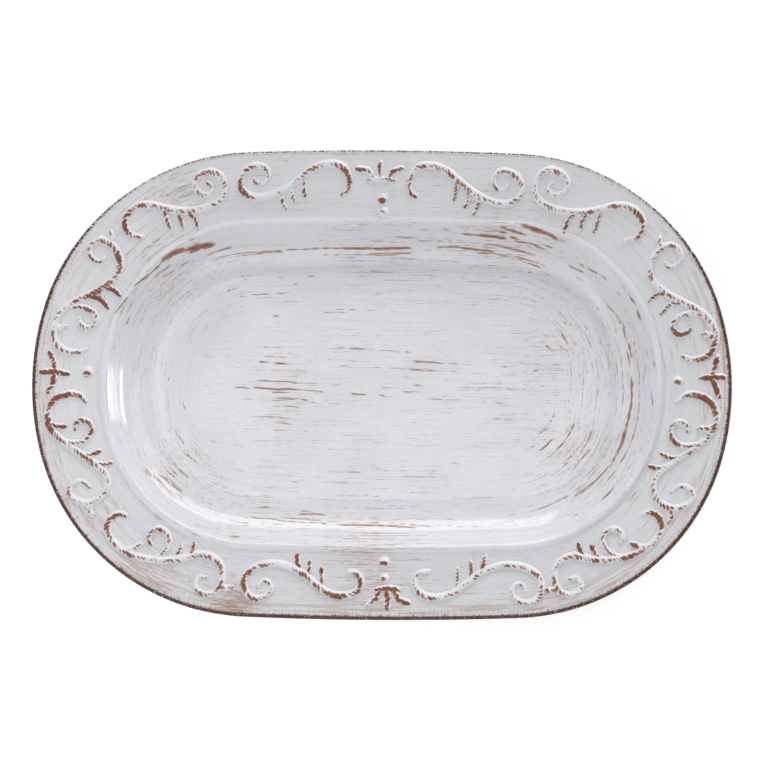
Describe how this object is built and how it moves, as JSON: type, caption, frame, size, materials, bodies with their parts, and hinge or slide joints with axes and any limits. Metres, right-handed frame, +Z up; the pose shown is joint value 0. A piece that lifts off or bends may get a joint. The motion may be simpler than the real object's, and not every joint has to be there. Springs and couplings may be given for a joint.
{
  "type": "serving platter",
  "caption": "Oval china serving platter with a deep well, a sloping flange with applied scrolls, a brown milled rim and a foot ring.",
  "frame": {"origin": "on the table under the middle of the platter", "axes": "+X along the platter's length, +Y away from the front long side, +Z up"},
  "size_m": [0.432, 0.293, 0.0359],
  "materials": {
    "glaze": "satin white glaze with brown brushed wear",
    "relief_glaze": "satin white glaze, rubbed back to brown on the crests",
    "brown_edge": "dark brown glaze",
    "bare_foot": "unglazed"
  },
  "bodies": {
    "root": {"platter_body": "glaze", "foot_ring": "bare_foot", "milled_edge": "brown_edge", "corner_leaves_back_left": "relief_glaze", "corner_leaves_back_right": "relief_glaze", "corner_leaves_front_left": "relief_glaze", "corner_leaves_front_right": "relief_glaze", "corner_scroll_back_left": "relief_glaze", "corner_scroll_back_right": "relief_glaze", "corner_scroll_front_left": "relief_glaze", "corner_scroll_front_right": "relief_glaze", "end_leaves_back_left": "relief_glaze", "end_leaves_back_right": "relief_glaze", "end_leaves_front_left": "relief_glaze", "end_leaves_front_right": "relief_glaze", "end_scroll_back_left": "relief_glaze", "end_scroll_back_right": "relief_glaze", "end_scroll_front_left": "relief_glaze", "end_scroll_front_right": "relief_glaze", "side_leaves_back_left": "relief_glaze", "side_leaves_back_right": "relief_glaze", "side_leaves_front_left": "relief_glaze", "side_leaves_front_right": "relief_glaze", "side_scroll_back_left": "relief_glaze", "side_scroll_back_right": "relief_glaze", "side_scroll_front_left": "relief_glaze", "side_scroll_front_right": "relief_glaze", "palmette_front": "relief_glaze", "palmette_back": "relief_glaze", "palmette_left": "relief_glaze", "palmette_right": "relief_glaze", "beads_front": "relief_glaze", "beads_back": "relief_glaze", "bead_left": "relief_glaze", "bead_right": "relief_glaze"}
  },
  "joints": []
}
